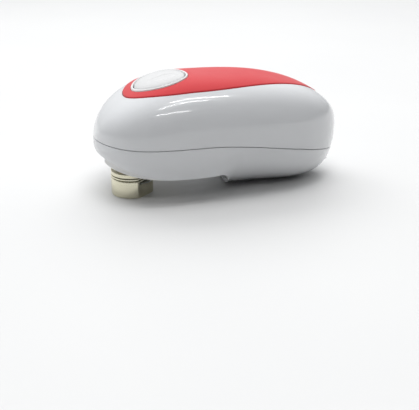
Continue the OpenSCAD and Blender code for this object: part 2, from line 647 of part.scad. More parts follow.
module cell_cradle() {
    y = cell_y + cell_d/2 - 0.2;
    color([0.8, 0.8, 0.79]) difference() {
        union() {
            block(cell_x, cell_x + cell_l, -y, y, cell_z + 1.5, cell_z + 9);
            block(cell_x - 3.4, cell_x, -y + 2, y - 2, cell_z - 5, cell_z + 9);
            block(cell_x + cell_l + 0.4, cell_x + cell_l + 1.6, -4.6, 4.6, cell_z - 4, cell_z + 9);
        }
        for (s = [-1, 1]) translate([cell_x - 2.2, s*cell_y, cell_z]) rotate([0, 90, 0])
            rod(0, 0, 0, cell_l + 2.6, cell_d/2 + 0.1);
        for (s = [-1, 1]) block(cell_x - 2.6, cell_x - 2.2, s*cell_y - 2.5, s*cell_y + 2.5, cell_z - 4, 40);
    }
}
module cell_springs() {
    color([0.75, 0.75, 0.76]) for (s = [-1, 1]) translate([cell_x - 2.2, s*cell_y, cell_z]) rotate([0, 90, 0])
        coil(0, 0, 0, 2.1, 3, 0.35, 2);
}
module cell_contacts() {
    color([0.78, 0.78, 0.79]) for (s = [-1, 1]) {
        block(cell_x - 2.6, cell_x - 2.2, s*cell_y - 2.5, s*cell_y + 2.5, cell_z - 4, cell_z + 12.5);
    }
    color([0.78, 0.78, 0.79]) block(cell_x + cell_l, cell_x + cell_l + 0.4, -cell_y - 3, cell_y + 3,
        cell_z - 4, cell_z + 4);
}
module battery_door() {
    n = 12;
    xs = [for (i = [0:n]) door_x0 + (door_x1 - door_x0)*i/n];
    g = grid(xs, [for (x = xs) door_w(x)], 12);
    color([0.91, 0.91, 0.9]) sheet_solid(g, [for (r = g) [for (p = r) max(0, keel(p.x, p.y, 0)) + door_t]],
        [for (r = g) [for (p = r) max(0, keel(p.x, p.y, 0))]]);
}
module wire_red() {
    color([0.75, 0.1, 0.1]) wire(red_route);
}
module wire_black() {
    color([0.08, 0.08, 0.08]) wire(black_route);
}
module wire_white() {
    color([0.9, 0.9, 0.88]) wire(white_route);
}
module wire_blue() {
    color([0.12, 0.2, 0.6]) wire(blue_route);
}

upper_shell();
lower_shell();
top_panel();
button_bezel();
head_cover();
shell_screws();
button_cap();
button_spring();
start_switch();
switch_plunger();
lower_plate();
upper_plate();
plate_posts();
plate_screws();
gear_pins();
motor_can();
motor_end();
motor_screws();
motor_rotor();
gear_1();
gear_2();
gear_3();
drive_gear();
drive_shaft();
drive_wheel();
drive_bush();
drum_bush();
cutter_drum();
drum_ring_low();
drum_ring_top();
drum_shaft();
drum_washer();
drum_cam();
cutter_axle();
cutter_wheel();
limit_switch();
magnet_cup();
lid_magnet();
cell_a();
cell_b();
cell_cradle();
cell_springs();
cell_contacts();
battery_door();
wire_red();
wire_black();
wire_white();
wire_blue();
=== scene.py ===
"""Looks of a hands-free can opener: smooth mouldings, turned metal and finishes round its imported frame."""

import json
import logging
import math
from contextlib import contextmanager
from dataclasses import dataclass, field
from enum import Enum
from typing import Callable, Iterable, Iterator, Sequence

import bpy
from mathutils import Matrix, Vector


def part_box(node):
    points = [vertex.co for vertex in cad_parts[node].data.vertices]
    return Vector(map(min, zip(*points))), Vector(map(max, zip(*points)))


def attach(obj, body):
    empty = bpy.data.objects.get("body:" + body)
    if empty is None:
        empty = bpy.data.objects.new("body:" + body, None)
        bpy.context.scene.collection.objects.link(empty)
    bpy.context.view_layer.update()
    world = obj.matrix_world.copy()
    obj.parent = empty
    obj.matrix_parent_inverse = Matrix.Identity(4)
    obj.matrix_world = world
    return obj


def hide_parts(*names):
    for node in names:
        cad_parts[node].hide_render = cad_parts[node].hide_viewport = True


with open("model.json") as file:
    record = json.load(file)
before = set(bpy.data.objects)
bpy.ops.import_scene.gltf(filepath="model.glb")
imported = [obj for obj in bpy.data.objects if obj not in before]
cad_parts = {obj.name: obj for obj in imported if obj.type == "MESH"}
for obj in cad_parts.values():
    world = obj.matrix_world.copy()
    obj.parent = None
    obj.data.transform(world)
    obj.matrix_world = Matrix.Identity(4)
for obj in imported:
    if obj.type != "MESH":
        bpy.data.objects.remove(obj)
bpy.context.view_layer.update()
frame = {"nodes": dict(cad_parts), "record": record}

LOG = logging.getLogger("opener")
MM = 0.001

Point = tuple[float, float, float]
Flat = tuple[float, float]
Ring = list[Point]


class Body(Enum):
    """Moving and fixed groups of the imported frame."""

    HOUSING = "housing"
    BUTTON = "button"
    PLUNGER = "start_plunger"
    DOOR = "door"
    DRUM = "drum"
    CUTTER = "cutter"
    DRIVE = "drive"
    GEAR_THREE = "gear_three"
    GEAR_TWO = "gear_two"
    GEAR_ONE = "gear_one"
    ROTOR = "rotor"


# ---------------------------------------------------------------- form of the body


@dataclass(frozen=True)
class Hull:
    """The body's outer form in millimetres: rim in plan, crown above it and keel below."""

    half_length: float = 76.5
    half_width: float = 39.0
    waist: float = 31.0
    crown_rise: float = 37.5
    keel_drop: float = 31.5
    crown_x: float = -21.4
    wide_x: float = -10.0
    head_level: float = 16.0
    split_level: float = 34.6
    step_x: float = -8.0
    step_run: float = 11.0
    keel_hold: float = 0.93
    crown_power: float = 3.2
    nose_x: float = -38.0
    nose_run: float = 39.0
    nose_lift: float = 11.5
    cover_lift: float = 3.5
    cover_drop: float = 0.4
    seam_x: float = -20.0
    seam_run: float = 93.0
    seam_fall: float = 16.0
    step_soft: float = 0.6

    @staticmethod
    def fall(x: float, peak: float, half: float, front: float, rear: float, root: float) -> float:
        """Share of the full height or width left at x, from 1 at the peak to 0 at either end."""
        ahead = x < peak
        t = (peak - x) / (peak + half) if ahead else (x - peak) / (half - peak)
        return 0.0 if t >= 1 else (1 - max(t, 0.0) ** (front if ahead else rear)) ** (1 / root)

    @staticmethod
    def ease(t: float) -> float:
        """Smooth change from 0 to 1."""
        t = min(1.0, max(0.0, t))
        return t * t * (3 - 2 * t)

    def plan(self, x: float, inset: float = 0.0) -> float:
        """Half width at x."""
        return (self.half_width - inset) * self.fall(x, self.wide_x, self.half_length - inset, 4.5, 3.4, 1.6)

    def across(self, x: float, y: float, inset: float) -> float:
        """How far out y is, from 0 on the centre line to 1 at the rim."""
        width = self.plan(x, inset)
        return 1.0 if width < 0.001 else min(1.0, abs(y) / width)

    def crown(self, x: float, y: float, inset: float = 0.0) -> float:
        """Height of the upper surface."""
        rise = (self.crown_rise - inset) * self.fall(x, self.crown_x, self.half_length - inset, 1.8, 2.8, 2)
        return self.waist + rise * (1 - self.across(x, y, inset) ** self.crown_power) ** (1 / self.crown_power)

    def keel(self, x: float, y: float, inset: float = 0.0) -> float:
        """Height of the lower surface, before the floor cuts it."""
        power = 3 - 1.4 * self.ease((x + 25) / 30) + 0.4 * self.ease((x - 15) / 40)
        drop = (self.keel_drop - inset) * self.fall(x, 0.0, self.half_length - inset, 1.6, 8.8, 2)
        return self.waist - drop * (1 - self.across(x, y, inset) ** power) ** (1 / power)

    def nose(self, x: float) -> float:
        """How far the head's lower side has risen toward its front end at x."""
        return (max(0.0, self.nose_x - x) / self.nose_run) ** 1.5

    def lip(self, x: float) -> float:
        """Height of the head's lower edge."""
        return self.head_level + self.nose_lift * self.nose(x)

    def cover_low(self, x: float) -> float:
        """Height of the head cover's lower face."""
        return self.head_level - self.cover_drop + self.cover_lift * self.nose(x)

    def under(self, x: float, wall: float = 0.0) -> float:
        """Height of the underside: the head, the step down to the tail, then the floor.

        Args:
            x: place along the body.
            wall: thickness that lies on the underside, for the inner face.

        Returns:
            The height in millimetres.
        """
        t = 1 - (x - self.step_x - wall) / self.step_run
        if t >= 1:
            return self.lip(x) + wall
        step = self.head_level * math.sin(math.radians(90 * t)) if t > -0.2 else -4.0
        blend = max(self.step_soft - abs(step), 0.0) / self.step_soft
        return max(step, 0.0) + blend * blend * self.step_soft / 4 + wall

    def seam(self, x: float) -> float:
        """Height of the parting line between the two shells."""
        return self.split_level - self.seam_fall * (max(0.0, x - self.seam_x) / self.seam_run) ** 1.75

    def rim(self, turn: float, inset: float = 0.0) -> Flat:
        """Point of the rim at an angle round the plan, in degrees."""
        x = (self.half_length - inset) * math.cos(math.radians(turn))
        side = math.sin(math.radians(turn))
        return x, math.copysign(self.plan(x, inset), side) if abs(side) > 1e-9 else 0.0


@dataclass(frozen=True)
class Panel:
    """Outline of the coloured panel and of the button in it, in millimetres."""

    half_width: float = 27.4
    tip: float = -57.5
    tail: float = 64.0
    join_x: float = -24.0
    button_x: float = -36.0
    ring_long: float = 16.8
    ring_wide: float = 18.0
    ring_wall: float = 1.4
    cap_gap: float = 0.6
    proud: float = 0.4
    depth: float = 1.5

    def width(self, x: float) -> float:
        """Half width of the panel at x."""
        if x < self.join_x:
            return self.half_width * max(0.0, 1 - ((self.join_x - x) / (self.join_x - self.tip)) ** 2.2) ** (1 / 2.2)
        return self.half_width * max(0.0, 1 - ((x - self.join_x) / (self.tail - self.join_x)) ** 2.15) ** (1 / 1.35)

    def outline(self, turn: float) -> Flat:
        """Point of the outline at an angle, in degrees."""
        x = (self.tip + self.tail) / 2 + (self.tail - self.tip) / 2 * math.cos(math.radians(turn))
        side = math.sin(math.radians(turn))
        return x, math.copysign(self.width(x), side) if abs(side) > 1e-9 else 0.0

    def oval(self, turn: float, shrink: float = 0.0) -> Flat:
        """Point of the button ring's outer edge, moved inward by shrink."""
        a = math.radians(turn)
        return (
            self.button_x + (self.ring_long - shrink) * math.cos(a),
            (self.ring_wide - shrink) * math.sin(a),
        )


HULL = Hull()
PANEL = Panel()


# ---------------------------------------------------------------- mesh work


def clear_selection() -> None:
    """Leaves edit mode and deselects everything."""
    if bpy.context.object and bpy.context.object.mode != "OBJECT":
        bpy.ops.object.mode_set(mode="OBJECT")
    bpy.ops.object.select_all(action="DESELECT")


def pick(piece: bpy.types.Object) -> None:
    """Makes a piece the only selected and the active one."""
    clear_selection()
    piece.select_set(True)
    bpy.context.view_layer.objects.active = piece


@contextmanager
def editing(piece: bpy.types.Object) -> Iterator[None]:
    """Opens a piece in edit mode with all of it selected, and closes it afterwards."""
    pick(piece)
    bpy.ops.object.mode_set(mode="EDIT")
    bpy.ops.mesh.select_all(action="SELECT")
    yield
    bpy.ops.object.mode_set(mode="OBJECT")


def apply_change(piece: bpy.types.Object, kind: str, **settings: object) -> None:
    """Adds a modifier of one kind with its settings and applies it."""
    pick(piece)
    change = piece.modifiers.new("change", kind)
    for name, value in settings.items():
        setattr(change, name, value)
    bpy.ops.object.modifier_apply(modifier=change.name)


def knit(piece: bpy.types.Object, gap: float = 2e-7) -> None:
    """Closes seams and poles and turns every face outward."""
    with editing(piece):
        bpy.ops.mesh.remove_doubles(threshold=gap)
        bpy.ops.mesh.dissolve_degenerate(threshold=gap)
        bpy.ops.mesh.normals_make_consistent(inside=False)


def sheet(name: str, rows: Sequence[Sequence[Point]]) -> bpy.types.Object:
    """Lays a grid primitive over rows of points.

    Args:
        name: name of the new object.
        rows: rows of equal length, in millimetres.

    Returns:
        The new object, its seams still open.
    """
    clear_selection()
    wide, deep = len(rows[0]), len(rows)
    bpy.ops.mesh.primitive_grid_add(x_subdivisions=wide - 1, y_subdivisions=deep - 1, size=0.01)
    piece = bpy.context.object
    piece.name = name
    if len(piece.data.vertices) != wide * deep:
        raise ValueError(f"{name}: grid has {len(piece.data.vertices)} points, not {wide} x {deep}")
    flat = [value * MM for row in rows for point in row for value in point]
    piece.data.vertices.foreach_set("co", flat)
    piece.data.update()
    return piece


def loft(name: str, rings: Sequence[Ring], knitted: bool = True) -> bpy.types.Object:
    """Skins closed rings of equal length; a ring drawn to one point closes an end.

    Args:
        name: name of the new object.
        rings: rings in order along the skin, in millimetres.
        knitted: whether the seams are closed now.

    Returns:
        The new object.
    """
    piece = sheet(name, [[*ring, ring[0]] for ring in rings])
    if knitted:
        knit(piece)
    return piece


def circle(centre: Flat, radius: float, height: float, steps: int) -> Ring:
    """A level round ring, in millimetres."""
    turns = [2 * math.pi * k / steps for k in range(steps)]
    return [(centre[0] + radius * math.cos(a), centre[1] + radius * math.sin(a), height) for a in turns]


def between(low: Sequence[Flat], high: Sequence[Flat], share: float) -> list[Flat]:
    """A flat outline that lies a share of the way from one outline to another."""
    return [(a[0] + (b[0] - a[0]) * share, a[1] + (b[1] - a[1]) * share) for a, b in zip(low, high)]


def lay(points: Sequence[Flat], rise: float, inset: float = 0.0) -> Ring:
    """A flat outline laid on the crown, or on the crown moved inward, and raised."""
    return [(x, y, HULL.crown(x, y, inset) + rise) for x, y in points]


def lathe(name: str, centre: Flat, outline: Sequence[Flat], steps: int = 96) -> bpy.types.Object:
    """Turns a closed outline of (radius, height) about an upright axis.

    Args:
        name: name of the new object.
        centre: place of the axis in plan, in millimetres.
        outline: outline in order; it starts and ends on the axis or closes on itself.
        steps: facets round the turn.

    Returns:
        The new object.
    """
    return loft(name, [circle(centre, radius, height, steps) for radius, height in outline])


def post(name: str, centre: Flat, radius: float, low: float, high: float, steps: int = 64) -> bpy.types.Object:
    """An upright plain cylinder, in millimetres, as a tool for cuts."""
    return lathe(name, centre, [(0, low), (radius, low), (radius, high), (0, high)], steps)


def tube(name: str, centre: Flat, radii: Flat, low: float, high: float, soft: float = 0.15) -> bpy.types.Object:
    """An upright tube with softened rims: radii are outer and inner."""
    outer, inner = radii
    lower = [(inner, low + soft), (inner + soft, low), (outer - soft, low), (outer, low + soft)]
    upper = [(outer, high - soft), (outer - soft, high), (inner + soft, high), (inner, high - soft)]
    return lathe(name, centre, [*lower, *upper, lower[0]])


def cut_away(piece: bpy.types.Object, tool: bpy.types.Object) -> None:
    """Cuts a tool's shape from a piece and removes the tool."""
    before = len(piece.data.vertices)
    apply_change(piece, "BOOLEAN", operation="DIFFERENCE", solver="EXACT", object=tool)
    bpy.data.objects.remove(tool, do_unlink=True)
    if len(piece.data.vertices) < before // 4:
        raise ValueError(f"{piece.name}: the cut took nearly everything")


def gather(piece: bpy.types.Object, extras: Iterable[bpy.types.Object]) -> bpy.types.Object:
    """Joins further closed solids into a piece."""
    extras = list(extras)
    pick(piece)
    for extra in extras:
        extra.select_set(True)
    bpy.ops.object.join()
    return piece


def soften(piece: bpy.types.Object, width: float, angle: float = 35.0, steps: int = 2) -> None:
    """Rounds the sharp edges of a piece by width millimetres and applies it."""
    limit = math.radians(angle)
    apply_change(piece, "BEVEL", width=width * MM, segments=steps, limit_method="ANGLE", angle_limit=limit)


def smooth(piece: bpy.types.Object, angle: float = 32.0) -> None:
    """Shades a piece smooth, with its sharp edges kept."""
    pick(piece)
    bpy.ops.object.shade_smooth_by_angle(angle=math.radians(angle))


def slice_off(piece: bpy.types.Object, point: Flat, normal: Flat) -> None:
    """Cuts away what lies beyond an upright plane and closes the cut."""
    place = (point[0] * MM, point[1] * MM, 0.0)
    with editing(piece):
        bpy.ops.mesh.bisect(plane_co=place, plane_no=(*normal, 0.0), use_fill=True, clear_outer=True)


def offset_ring(points: Sequence[Flat], grow: float) -> list[Flat]:
    """Moves a closed flat outline outward by grow millimetres."""
    count = len(points)
    moved = []
    for k, (x, y) in enumerate(points):
        before, after = points[k - 1], points[(k + 1) % count]
        dx, dy = after[0] - before[0], after[1] - before[1]
        size = math.hypot(dx, dy) or 1.0
        moved.append((x + grow * dy / size, y - grow * dx / size))
    return moved


# ---------------------------------------------------------------- shared surface effects


Ends = tuple[bpy.types.NodeTree, bpy.types.Node, bpy.types.Node, bpy.types.Node]
Key = str | int


def fill(node: bpy.types.Node, values: dict[Key, object]) -> None:
    """Sets a node's inputs by name or place."""
    for key, value in values.items():
        node.inputs[key].default_value = value


def add(
    tree: bpy.types.NodeTree, kind: str, values: dict[Key, object] | None = None, **traits: object
) -> bpy.types.Node:
    """Adds a shader node.

    Args:
        tree: where it goes.
        kind: its type, without the common prefix.
        values: its inputs.
        traits: its settings, such as an operation.

    Returns:
        The new node.
    """
    node = tree.nodes.new(f"ShaderNode{kind}")
    for name, value in traits.items():
        setattr(node, name, value)
    fill(node, values or {})
    return node


def wire(tree: bpy.types.NodeTree, *runs: tuple[bpy.types.Node, Key, bpy.types.Node, Key]) -> None:
    """Links outputs to inputs; each run is a node, its output, a node and its input."""
    for source, out, target, into in runs:
        tree.links.new(source.outputs[out], target.inputs[into])


class Grain(Enum):
    """Which fine relief a finish carries."""

    SKIN = "skin"
    HAIRLINE = "hairline"
    TURNED = "turned"


class Effects:
    """Node groups that several finishes share."""

    def __init__(self) -> None:
        """Builds every group once."""
        self.cloud = self._cloud()
        self.grains = {
            Grain.SKIN: self._peel(),
            Grain.HAIRLINE: self._streaks(),
            Grain.TURNED: self._turning(),
        }

    @staticmethod
    def _start(name: str, takes: dict[str, float | None], gives: Sequence[str]) -> Ends:
        """Opens a group.

        Args:
            name: the group's name.
            takes: its inputs with their values; a colour has None.
            gives: its outputs.

        Returns:
            The group, its input and output ends, and an object coordinate.
        """
        group = bpy.data.node_groups.new(name, "ShaderNodeTree")
        sockets = [(socket, "INPUT", value) for socket, value in takes.items()]
        sockets += [(socket, "OUTPUT", None) for socket in gives]
        for socket, way, value in sockets:
            kind = "NodeSocketColor" if socket in ("Color", "Dark") else "NodeSocketFloat"
            made = group.interface.new_socket(name=socket, in_out=way, socket_type=kind)
            if value is not None:
                made.default_value = value
        start, end = group.nodes.new("NodeGroupInput"), group.nodes.new("NodeGroupOutput")
        return group, start, end, add(group, "TexCoord")

    def _cloud(self) -> bpy.types.NodeTree:
        """Soft uneven tone: a colour pushed a little darker in places, and its mask."""
        takes = {"Color": None, "Dark": None, "Scale": 40.0, "Amount": 0.3}
        group, start, end, place = self._start("cloudy_tone", takes, ("Color", "Mask"))
        noise = add(group, "TexNoise", {"Detail": 4.0, "Roughness": 0.55})
        mix = add(group, "Mix", data_type="RGBA")
        scaled = add(group, "Math", operation="MULTIPLY")
        wire(
            group,
            (place, "Object", noise, "Vector"),
            (start, "Scale", noise, "Scale"),
            (noise, "Fac", scaled, 0),
            (start, "Amount", scaled, 1),
            (scaled, 0, mix, "Factor"),
            (start, "Color", mix, "A"),
            (start, "Dark", mix, "B"),
            (mix, "Result", end, "Color"),
            (noise, "Fac", end, "Mask"),
        )
        return group

    def _peel(self) -> bpy.types.NodeTree:
        """Fine skin of a moulding: a height from two sizes of noise."""
        group, start, end, place = self._start("moulded_skin", {"Scale": 900.0, "Waviness": 0.4}, ("Height",))
        fine = add(group, "TexNoise", {"Detail": 2.0, "Roughness": 0.5})
        broad = add(group, "TexNoise", {"Detail": 1.0, "Roughness": 0.4})
        slow = add(group, "Math", {1: 0.06}, operation="MULTIPLY")
        mix = add(group, "Mix")
        wire(
            group,
            (place, "Object", fine, "Vector"),
            (place, "Object", broad, "Vector"),
            (start, "Scale", fine, "Scale"),
            (start, "Scale", slow, 0),
            (slow, 0, broad, "Scale"),
            (start, "Waviness", mix, "Factor"),
            (fine, "Fac", mix, "A"),
            (broad, "Fac", mix, "B"),
            (mix, "Result", end, "Height"),
        )
        return group

    def _streaks(self) -> bpy.types.NodeTree:
        """Hairline scratches along X: a mask from a strongly stretched noise."""
        group, start, end, place = self._start("hairlines", {"Scale": 1500.0, "Stretch": 0.03}, ("Mask",))
        noise = add(group, "TexNoise", {"Detail": 3.0, "Roughness": 0.6})
        pull = add(group, "VectorMath", operation="MULTIPLY")
        pack = add(group, "CombineXYZ", {"Y": 1.0, "Z": 1.0})
        wire(
            group,
            (start, "Stretch", pack, "X"),
            (place, "Object", pull, 0),
            (pack, 0, pull, 1),
            (pull, 0, noise, "Vector"),
            (start, "Scale", noise, "Scale"),
            (noise, "Fac", end, "Mask"),
        )
        return group

    def _turning(self) -> bpy.types.NodeTree:
        """Marks of the lathe: thin level bands up an upright part."""
        group, start, end, place = self._start("lathe_marks", {"Scale": 2500.0}, ("Mask",))
        noise = add(group, "TexNoise", {"Detail": 3.0, "Roughness": 0.6})
        pull = add(group, "VectorMath", {1: (0.02, 0.02, 1.0)}, operation="MULTIPLY")
        wire(
            group,
            (place, "Object", pull, 0),
            (pull, 0, noise, "Vector"),
            (start, "Scale", noise, "Scale"),
            (noise, "Fac", end, "Mask"),
        )
        return group


@dataclass(frozen=True)
class Finish:
    """One surface finish: colours, gloss and the relief that breaks it up."""

    name: str
    color: tuple[float, float, float]
    shade: tuple[float, float, float]
    rough: Flat
    metal: float = 0.0
    coat: float = 0.0
    grain: Grain = Grain.SKIN
    grain_scale: float = 900.0
    relief: float = 0.03
    cloud_scale: float = 40.0
    cloud: float = 0.5
    ior: float = 1.5
    subsurface: float = 0.0
    specular: float = 0.5

    def build(self, effects: Effects) -> bpy.types.Material:
        """Makes the material.

        Args:
            effects: the shared node groups.

        Returns:
            A node material that reads object coordinates only.
        """
        made = bpy.data.materials.new(self.name)
        made.use_nodes = True
        tree = made.node_tree
        shader = tree.nodes["Principled BSDF"]
        settings = {
            "Metallic": self.metal,
            "IOR": self.ior,
            "Specular IOR Level": self.specular,
            "Coat Weight": self.coat,
            "Coat Roughness": 0.035,
            "Subsurface Weight": self.subsurface,
            "Subsurface Scale": 0.002,
        }
        fill(shader, settings)
        colours = {"Color": (*self.color, 1.0), "Dark": (*self.shade, 1.0)}
        tone = add(tree, "Group", node_tree=effects.cloud)
        fill(tone, {**colours, "Scale": self.cloud_scale, "Amount": self.cloud})
        relief = add(tree, "Group", node_tree=effects.grains[self.grain])
        fill(relief, {"Scale": self.grain_scale})
        low, high = self.rough
        spread = add(tree, "MapRange", {"From Min": 0.35, "From Max": 0.65, "To Min": low, "To Max": high})
        bump = add(tree, "Bump", {"Strength": self.relief, "Distance": 0.0002})
        uneven = (tone, "Mask") if self.grain is Grain.SKIN else (relief, 0)
        wire(
            tree,
            (tone, "Color", shader, "Base Color"),
            (*uneven, spread, "Value"),
            (spread, 0, shader, "Roughness"),
            (relief, 0, bump, "Height"),
            (bump, "Normal", shader, "Normal"),
        )
        return made


TURNED = Grain.TURNED
FINISHES = (
    Finish("shell_white", (0.68, 0.69, 0.705), (0.64, 0.65, 0.67), (0.16, 0.24), coat=0.8, relief=0.007),
    Finish(
        "panel_red",
        (0.60, 0.048, 0.055),
        (0.56, 0.040, 0.047),
        (0.34, 0.42),
        ior=1.36,
        specular=0.3,
        relief=0.06,
        grain_scale=1400.0,
    ),
    Finish("trim_white", (0.76, 0.76, 0.76), (0.71, 0.71, 0.71), (0.12, 0.18), coat=0.3, relief=0.02),
    Finish("cover_white", (0.72, 0.72, 0.71), (0.64, 0.64, 0.63), (0.34, 0.46), relief=0.12),
    Finish("button_white", (0.66, 0.66, 0.66), (0.62, 0.62, 0.625), (0.13, 0.20), coat=0.3, relief=0.02),
    Finish("screw_steel", (0.55, 0.55, 0.57), (0.40, 0.40, 0.42), (0.28, 0.45), 1.0, grain=TURNED, relief=0.1),
    Finish("spring_steel", (0.62, 0.62, 0.64), (0.5, 0.5, 0.52), (0.2, 0.34), 1.0, relief=0.05),
    Finish("black_plastic", (0.030, 0.030, 0.034), (0.02, 0.02, 0.022), (0.4, 0.55), relief=0.2),
    Finish("dark_plastic", (0.07, 0.07, 0.08), (0.05, 0.05, 0.055), (0.4, 0.55), relief=0.2),
    Finish("red_plastic", (0.55, 0.05, 0.04), (0.45, 0.04, 0.03), (0.35, 0.5), relief=0.1),
    Finish("plate_steel", (0.50, 0.51, 0.53), (0.40, 0.41, 0.43), (0.26, 0.42), 1.0, grain=Grain.HAIRLINE, relief=0.12),
    Finish("brass", (0.78, 0.58, 0.27), (0.62, 0.44, 0.19), (0.22, 0.38), 1.0, grain=TURNED, relief=0.1),
    Finish("bright_steel", (0.66, 0.67, 0.69), (0.52, 0.53, 0.55), (0.16, 0.30), 1.0, grain=TURNED, relief=0.08),
    Finish("motor_steel", (0.60, 0.61, 0.62), (0.50, 0.51, 0.53), (0.26, 0.4), 1.0, grain=TURNED, relief=0.06),
    Finish("gear_plastic", (0.84, 0.81, 0.71), (0.76, 0.73, 0.62), (0.32, 0.45), relief=0.08, subsurface=0.1),
    Finish(
        "nickel",
        (0.74, 0.71, 0.56),
        (0.66, 0.63, 0.48),
        (0.14, 0.24),
        1.0,
        grain=TURNED,
        grain_scale=1800.0,
        relief=0.05,
    ),
    Finish("cell_wrap", (0.10, 0.12, 0.15), (0.07, 0.085, 0.11), (0.14, 0.22), coat=0.4, relief=0.02),
    Finish("wire_red", (0.58, 0.035, 0.03), (0.48, 0.03, 0.025), (0.32, 0.45), relief=0.08),
    Finish("wire_black", (0.03, 0.03, 0.03), (0.02, 0.02, 0.02), (0.32, 0.45), relief=0.08),
    Finish("wire_white", (0.78, 0.78, 0.75), (0.68, 0.68, 0.65), (0.32, 0.45), relief=0.08),
    Finish("wire_blue", (0.04, 0.10, 0.42), (0.03, 0.08, 0.34), (0.32, 0.45), relief=0.08),
)


class Paints:
    """The built materials, by the record's slot names."""

    def __init__(self) -> None:
        """Builds the shared effects and every finish."""
        effects = Effects()
        self.made = {finish.name: finish.build(effects) for finish in FINISHES}

    def dress(self, piece: bpy.types.Object, slot: str) -> None:
        """Gives a piece one finish and names its slot."""
        piece.data.materials.clear()
        piece.data.materials.append(self.made[slot])
        for face in piece.data.polygons:
            face.material_index = 0


@dataclass
class Assembly:
    """A sub-assembly: it builds pieces, dresses them and sets them on their bodies."""

    paints: Paints
    pieces: list[bpy.types.Object] = field(default_factory=list)

    def seat(self, piece: bpy.types.Object, body: Body, slot: str, *nodes: str) -> bpy.types.Object:
        """Finishes a piece.

        Args:
            piece: the mesh, in place.
            body: the body it rides on.
            slot: the record's material slot.
            nodes: the frame nodes it stands for.

        Returns:
            The same piece.
        """
        self.paints.dress(piece, slot)
        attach(piece, body.value)
        if nodes:
            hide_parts(*nodes)
        self.pieces.append(piece)
        LOG.info("%s: %d faces on %s", piece.name, len(piece.data.polygons), body.value)
        return piece


# ---------------------------------------------------------------- the two shells


@dataclass(frozen=True)
class Bores:
    """Places and radii of the bores, in millimetres; a screw's place is given for the side with +Y."""

    front_screw: Flat = (-28.0, 28.0)
    rear_screw: Flat = (66.0, 9.0)
    pivot: Flat = (-56.128, -3.3)
    drive: Flat = (-55.4, 17.05)
    screw_radius: float = 1.6
    well_radius: float = 2.9
    boss_radius: float = 3.4
    thread_radius: float = 1.2
    pivot_radius: float = 6.25
    drive_radius: float = 5.05
    low: float = 5.0

    def cut_shafts(self, piece: bpy.types.Object) -> None:
        """Bores a piece for the drum's shaft and the drive's shaft."""
        for centre, radius in ((self.pivot, self.pivot_radius), (self.drive, self.drive_radius)):
            cut_away(piece, post("bore", centre, radius, self.low, 30.0))

    def cut_front_screw(self, piece: bpy.types.Object, side: int) -> None:
        """Bores a piece for the front screw on one side."""
        x, y = self.front_screw
        cut_away(piece, post("bore", (x, side * y), self.screw_radius, self.low, 24.0))


BORES = Bores()


